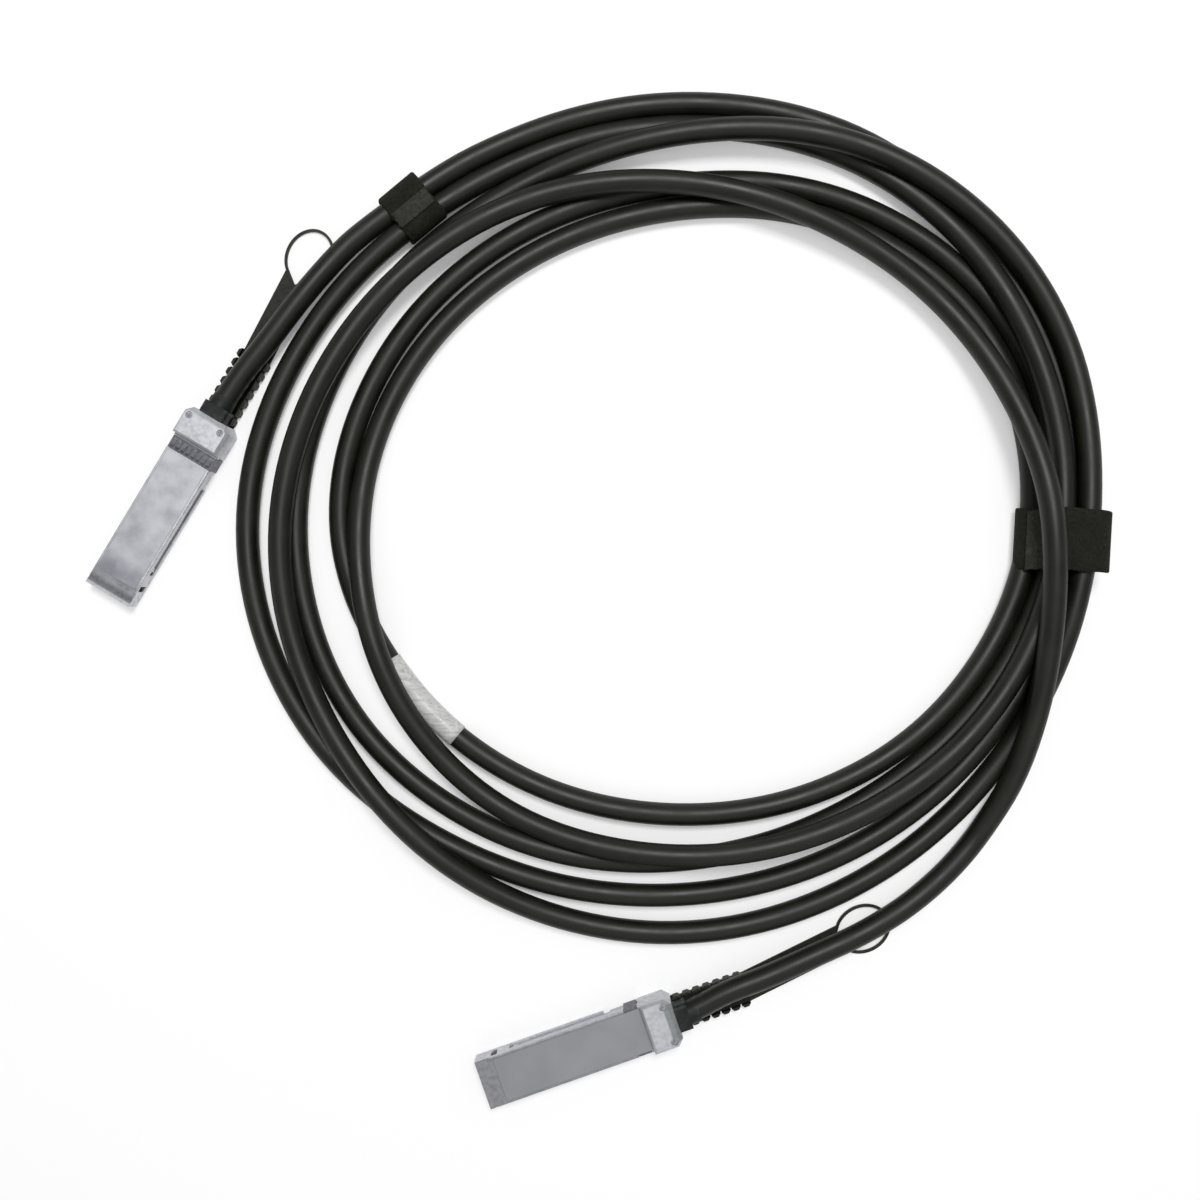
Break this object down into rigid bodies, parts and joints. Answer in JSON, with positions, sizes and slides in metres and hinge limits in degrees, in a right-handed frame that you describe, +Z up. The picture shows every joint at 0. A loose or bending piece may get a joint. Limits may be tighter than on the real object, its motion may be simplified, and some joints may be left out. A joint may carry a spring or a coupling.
{
  "type": "direct attach copper cable",
  "caption": "Loosely coiled black data cable with a metal edge-card plug and a black pull tab at each end, held by hook-and-loop straps, with a bare wrap label.",
  "frame": {"origin": "on the floor under the middle of the whole coiled cable", "axes": "+Z up, square to the coil's plane; +X to the right and +Y away, as it lies"},
  "size_m": [0.3796, 0.3761, 0.0281],
  "materials": {
    "die_cast": "satin die-cast shell",
    "latch_steel": "plain bent sheet",
    "tab_rubber": "flexible moulded tab",
    "rivet_steel": "flat rivet",
    "spring_steel": "wire",
    "circuit_board": "solder mask",
    "gold_contact": "gold plating",
    "chip_black": "moulded package",
    "twinax_insulation": "foil-wrapped pairs",
    "ferrule_steel": "crimped ring",
    "boot_rubber": "soft moulded collar",
    "gasket_steel": "dark plated sheet",
    "screw_steel": "zinc plated",
    "face_plate": "bare grey face label",
    "cable_jacket": "smooth extruded jacket",
    "wrap_label": "bare pale film",
    "strap_fabric": "hook-and-loop weave"
  },
  "bodies": {
    "cable_and_plugs": {"housing_lower_a": "die_cast", "housing_upper_a": "die_cast", "return_springs_a": "spring_steel", "paddle_card_a": "circuit_board", "contact_pads_a": "gold_contact", "card_chips_a": "chip_black", "twinax_fanout_a": "twinax_insulation", "crimp_ferrule_a": "ferrule_steel", "strain_relief_boot_a": "boot_rubber", "emi_gasket_a": "gasket_steel", "cover_screws_a": "screw_steel", "name_label_a": "face_plate", "housing_lower_b": "die_cast", "housing_upper_b": "die_cast", "return_springs_b": "spring_steel", "paddle_card_b": "circuit_board", "contact_pads_b": "gold_contact", "card_chips_b": "chip_black", "twinax_fanout_b": "twinax_insulation", "crimp_ferrule_b": "ferrule_steel", "strain_relief_boot_b": "boot_rubber", "emi_gasket_b": "gasket_steel", "cover_screws_b": "screw_steel", "name_label_b": "face_plate", "cable_tail_a": "cable_jacket", "cable_coil": "cable_jacket", "cable_tail_b": "cable_jacket", "cable_label": "wrap_label", "strap_upper": "strap_fabric", "strap_side": "strap_fabric"},
    "latch_a": {"latch_slider_a": "latch_steel", "pull_tab_a": "tab_rubber", "tab_rivets_a": "rivet_steel"},
    "latch_b": {"latch_slider_b": "latch_steel", "pull_tab_b": "tab_rubber", "tab_rivets_b": "rivet_steel"}
  },
  "joints": [
    {"name": "latch_a_slide", "type": "slide", "parent": "cable_and_plugs", "child": "latch_a", "axis": [0.515, 0.8572, 0], "range_m": [0, 0.003], "stiffness_N_per_m": 1000, "springref_m": -0.001, "deforming": ["return_springs_a"]},
    {"name": "latch_b_slide", "type": "slide", "parent": "cable_and_plugs", "child": "latch_b", "axis": [0.9432, 0.3322, 0], "range_m": [0, 0.003], "stiffness_N_per_m": 1000, "springref_m": -0.001, "deforming": ["return_springs_b"]}
  ]
}
